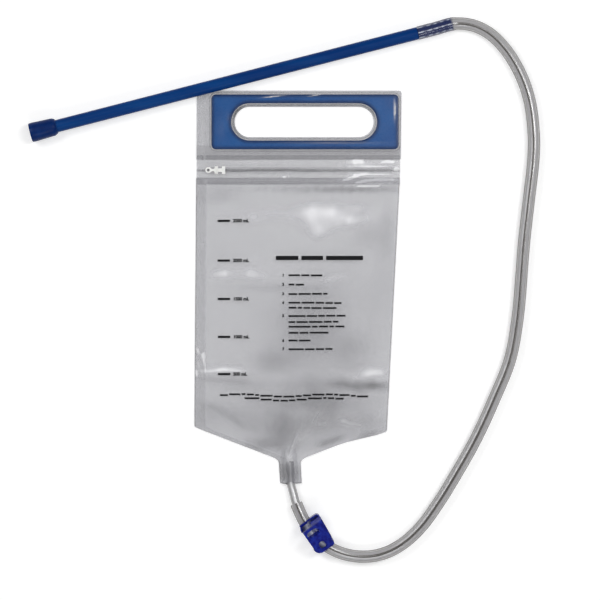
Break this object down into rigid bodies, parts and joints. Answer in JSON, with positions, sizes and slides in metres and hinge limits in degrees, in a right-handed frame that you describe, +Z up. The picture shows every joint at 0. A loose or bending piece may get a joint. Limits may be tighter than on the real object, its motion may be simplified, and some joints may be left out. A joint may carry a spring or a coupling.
{
  "type": "oral calf feeder",
  "caption": "Clear vinyl feeding bag with a plated hand slot and a zip mouth, a clear delivery hose with a pinch clamp, and a stiff probe with a flared tip on a barbed spigot.",
  "frame": {"origin": "middle of the bag's flat back face, on the surface that everything lies on", "axes": "+X to the side where the hose loops, +Y up the bag to its handle, +Z up from the surface"},
  "size_m": [0.5888, 0.6279, 0.0428],
  "materials": {
    "clear_film": "clear soft vinyl film, slightly hazy and creased",
    "clear_tube": "clear smooth vinyl tube",
    "blue_plate": "soft blue vinyl, satin",
    "white_slider": "white moulded plastic",
    "blue_clamp": "translucent blue moulded plastic",
    "navy_probe": "smooth dark blue plastic"
  },
  "bodies": {
    "bag": {"back_film": "clear_film", "front_film": "clear_film", "handle_film": "clear_film", "handle_insert": "blue_plate", "zip_strip_upper": "clear_film", "zip_strip_lower": "clear_film", "outlet_tube": "clear_tube", "hose_to_clamp": "clear_tube", "hose_in_clamp": "clear_tube", "hose_to_probe": "clear_tube", "clamp_base": "blue_clamp"},
    "slider": {"zip_slider": "white_slider"},
    "pull": {"zip_pull": "white_slider"},
    "clamp_lever": {"clamp_arm": "blue_clamp"},
    "probe": {"probe_tube": "navy_probe", "probe_tip": "navy_probe", "hose_barb": "navy_probe"}
  },
  "joints": [
    {"name": "zip_slide", "type": "slide", "parent": "bag", "child": "slider", "axis": [1, 0, 0], "range_m": [0, 0.19]},
    {"name": "pull_flip", "type": "hinge", "parent": "slider", "child": "pull", "pos_m": [-0.09597, 0.1351, 0.0067], "axis": [0, 1, 0], "range_deg": [0, 170]},
    {"name": "clamp_close", "type": "hinge", "parent": "bag", "child": "clamp_lever", "pos_m": [0.03239, -0.29892, 0.0192], "axis": [-0.8192, -0.5736, 0], "range_deg": [0, 28], "stiffness_Nm_per_rad": 0.05, "springref_deg": -5.73, "deforming": ["hose_in_clamp"]},
    {"name": "probe_pull", "type": "slide", "parent": "bag", "child": "probe", "axis": [-0.9682, -0.25, 0.0087], "range_m": [0, 0.055]}
  ]
}
